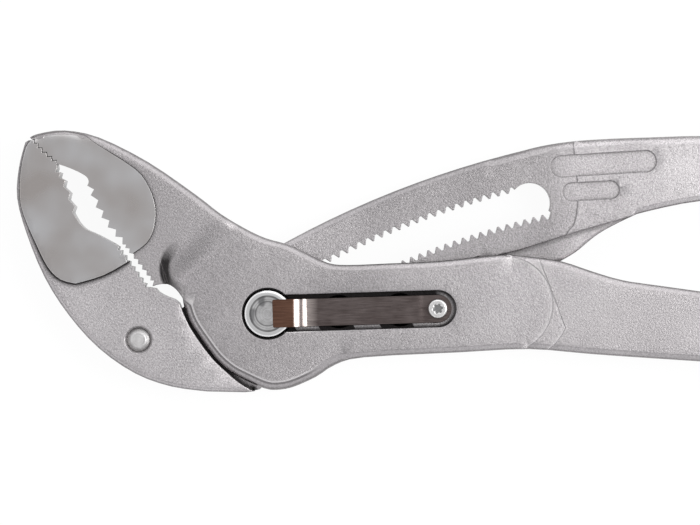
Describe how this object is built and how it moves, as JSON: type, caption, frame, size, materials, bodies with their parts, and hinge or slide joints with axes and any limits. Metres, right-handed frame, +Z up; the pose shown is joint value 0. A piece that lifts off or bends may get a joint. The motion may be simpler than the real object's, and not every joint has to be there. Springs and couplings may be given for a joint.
{
  "type": "water pump pliers",
  "caption": "Push-button water pump pliers with a box joint, a curved toothed slot for jaw size, a leaf-sprung hinge bolt and dipped grips",
  "frame": {"origin": "on the hinge bolt's axis, in the plane that the jaw lands and grips rest on", "axes": "+Z up out of the face with the leaf spring and along the hinge bolt, -X towards the jaws, +Y towards the upper handle"},
  "size_m": [0.2503, 0.0544, 0.011],
  "materials": {
    "forged_steel": "fine blasted and nickel plated forging",
    "bright_steel": "turned and polished",
    "dark_steel": "oiled",
    "spring_wire": "drawn wire",
    "spring_blade": "tempered blade, dark brown grey",
    "grip": "dipped, satin"
  },
  "bodies": {
    "front": {"front_arm": "forged_steel", "leaf_spring_screw": "bright_steel", "front_grip": "grip"},
    "guide": {"slot_follower": "dark_steel"},
    "slotted": {"slotted_arm": "forged_steel", "spring_anchor_pin": "bright_steel", "opening_spring": "spring_wire", "slotted_grip": "grip"},
    "bolt": {"hinge_bolt": "bright_steel"},
    "leaf": {"leaf_spring": "spring_blade"}
  },
  "joints": [
    {"name": "handle_pivot", "type": "hinge", "parent": "front", "child": "guide", "pos_m": [0, 0, 0.0055], "axis": [0, 0, 1], "range_deg": [0, 16]},
    {"name": "size_adjust", "type": "hinge", "parent": "guide", "child": "slotted", "pos_m": [0.0954, -0.1533, 0.0055], "axis": [0, 0, 1], "range_deg": [0, 17.8], "deforming": ["opening_spring"]},
    {"name": "button_press", "type": "slide", "parent": "guide", "child": "bolt", "axis": [0, 0, 1], "range_m": [0, 0.0023], "stiffness_N_per_m": 1700, "springref_m": -0.003},
    {"name": "leaf_flex", "type": "hinge", "parent": "front", "child": "leaf", "pos_m": [0.0299, 0.0009, 0.0093], "axis": [-0.0304, 0.9995, 0], "range_deg": [0, 5], "deforming": ["leaf_spring"]}
  ],
  "couplings": [
    {"joint": "leaf_flex", "follows": "button_press", "rad_per_m": 37}
  ]
}
